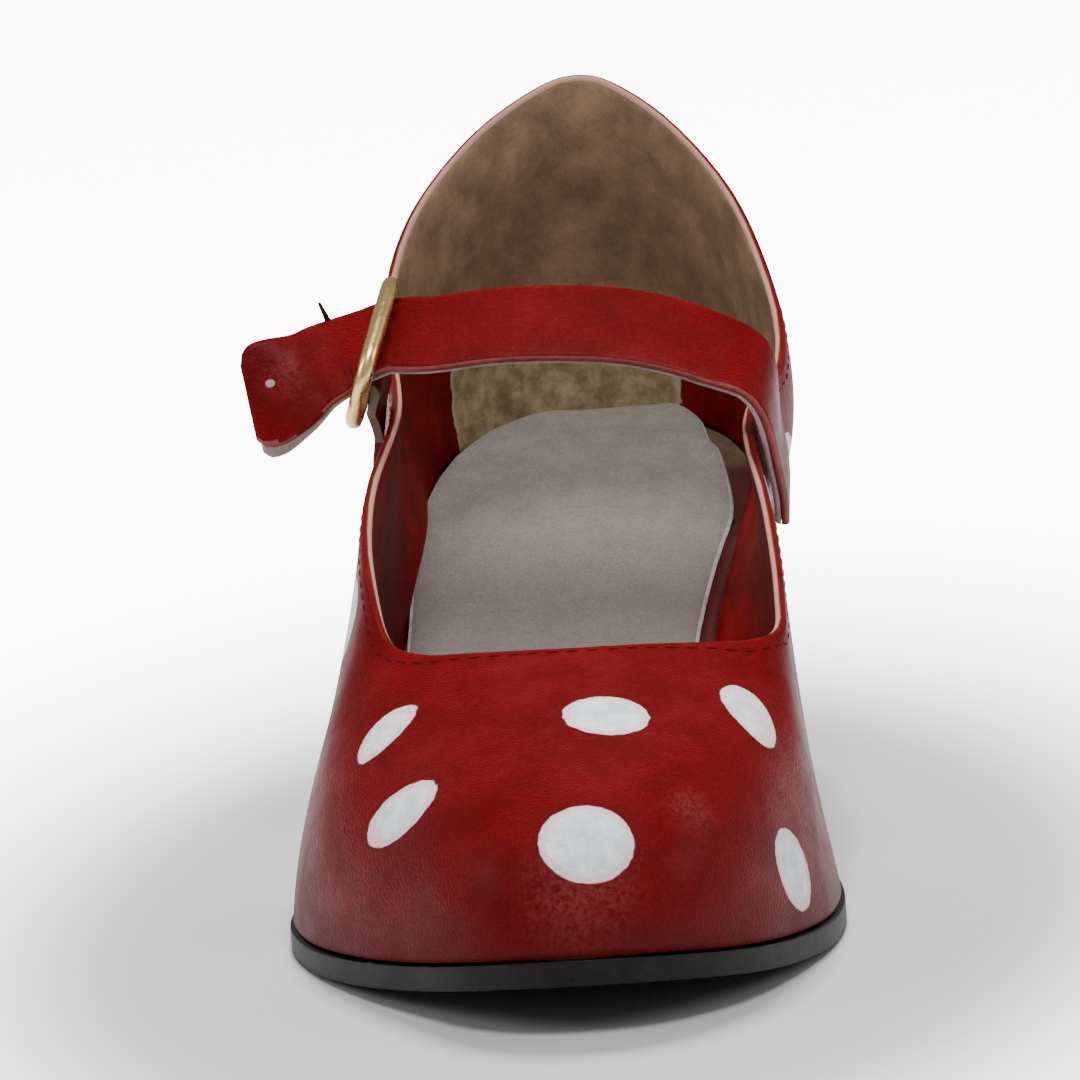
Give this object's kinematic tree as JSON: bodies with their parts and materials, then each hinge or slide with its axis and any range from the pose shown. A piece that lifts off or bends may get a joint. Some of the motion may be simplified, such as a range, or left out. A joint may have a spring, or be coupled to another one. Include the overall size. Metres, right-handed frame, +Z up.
{
  "type": "strapped pump shoe",
  "caption": "Child's closed-toe pump for the right foot with a low covered heel, a low-cut throat and an instep strap fastened by a metal buckle on the outer side.",
  "frame": {"origin": "centre of the walking face of the top piece under the heel, on the floor", "axes": "+Z up; the toe points to -Y; +X is the inner side of the foot, so the buckle is on the -X side"},
  "size_m": [0.0715, 0.1649, 0.0863],
  "materials": {
    "red_leather": "red coated leather with white dots, satin",
    "black_sole": "smooth black, scuffed",
    "red_heel_cover": "red coated leather, satin",
    "black_lift": "matt black",
    "tan_insole": "matt tan board",
    "grey_sock": "matt grey",
    "red_strap": "red coated leather, satin",
    "gold_buckle": "polished gold colour",
    "gold_prong": "polished gold colour",
    "red_chape": "red coated leather, satin"
  },
  "bodies": {
    "root": {"upper": "red_leather", "outsole": "black_sole", "heel": "red_heel_cover", "top_lift": "black_lift", "insole": "tan_insole", "sock_pad": "grey_sock", "strap": "red_strap", "buckle_frame": "gold_buckle", "buckle_prong": "gold_prong", "chape": "red_chape"}
  },
  "joints": []
}
